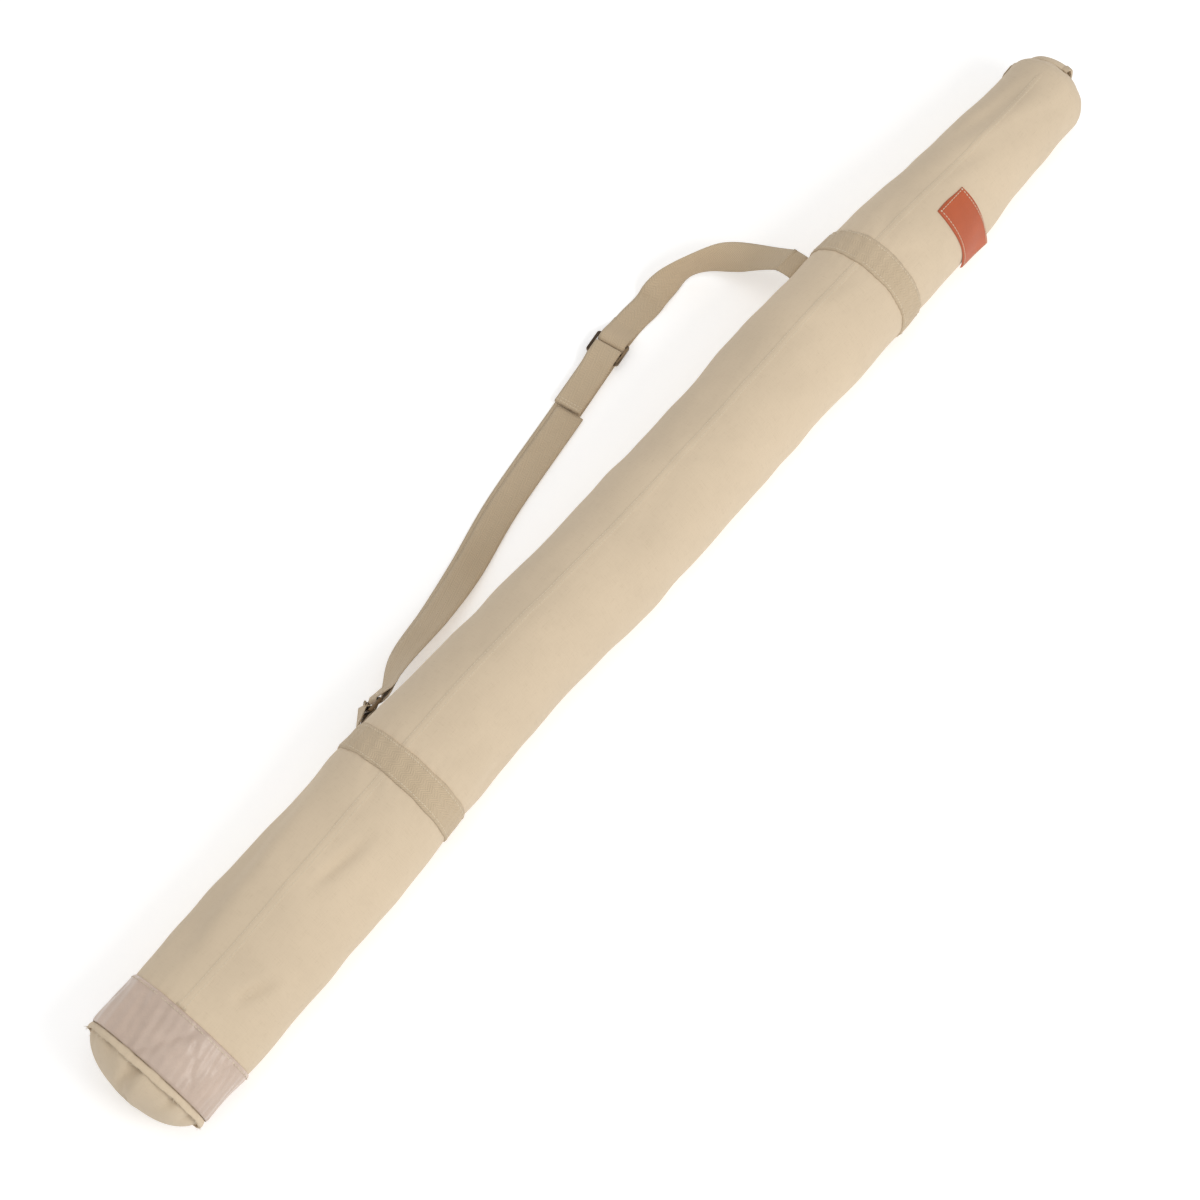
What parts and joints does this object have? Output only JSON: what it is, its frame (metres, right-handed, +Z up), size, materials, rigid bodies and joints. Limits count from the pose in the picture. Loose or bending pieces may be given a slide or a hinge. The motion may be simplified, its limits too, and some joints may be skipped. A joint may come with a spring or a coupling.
{
  "type": "cue case",
  "caption": "Soft padded canvas cue case lying flat, with a domed butt cap, a flap closing the mouth, webbing bands, a leather patch and a shoulder strap with a slider and a ring.",
  "frame": {"origin": "on the case's flat underside, halfway along it and under its centre line", "axes": "+X from the closed butt end to the mouth, +Z up, shoulder strap on the +Y side"},
  "size_m": [1.2009, 0.2178, 0.106],
  "materials": {
    "canvas": "unbleached cotton canvas, matt",
    "webbing": "cotton webbing, matt",
    "foam": "soft padding",
    "lining": "brushed lining cloth",
    "trim": "smooth pale leather, satin",
    "patch_leather": "orange-brown leather, satin",
    "bronze": "antique bronze plating"
  },
  "bodies": {
    "case": {"canvas_tube": "canvas", "lengthwise_seam": "canvas", "padding_sleeve": "foam", "lining_sleeve": "lining", "butt_trim_band": "trim", "end_seam_allowance": "canvas", "end_cap": "canvas", "butt_pad": "foam", "lower_webbing_band": "webbing", "upper_webbing_band": "webbing", "leather_patch": "patch_leather", "mouth_end_panel": "canvas", "stud_ball": "bronze", "stud_eyelet": "bronze", "strap_root": "webbing"},
    "flap": {"mouth_flap": "canvas", "flap_binding": "webbing", "stud_cap": "bronze", "stud_socket": "bronze"},
    "strap": {"shoulder_strap": "webbing", "ring_tab": "webbing"},
    "ring": {"strap_ring": "bronze"},
    "slider": {"slider_frame": "bronze", "slider_loop": "webbing"}
  },
  "joints": [
    {"name": "strap_swing", "type": "hinge", "parent": "case", "child": "strap", "pos_m": [0, 0.05988, 0.0555], "axis": [1, 0, 0], "range_deg": [0, 120]},
    {"name": "ring_swing", "type": "hinge", "parent": "strap", "child": "ring", "pos_m": [-0.2355, 0.06696, 0.04032], "axis": [0, 0.4226, -0.9063], "range_deg": [-8, 8]},
    {"name": "slider_slide", "type": "slide", "parent": "strap", "child": "slider", "axis": [-0.9897, -0.1432, 0], "range_m": [0, 0.1]},
    {"name": "flap_hinge", "type": "hinge", "parent": "case", "child": "flap", "pos_m": [0.585, 0.0345, 0.0385], "axis": [0, 0, 1], "range_deg": [0, 120]}
  ]
}
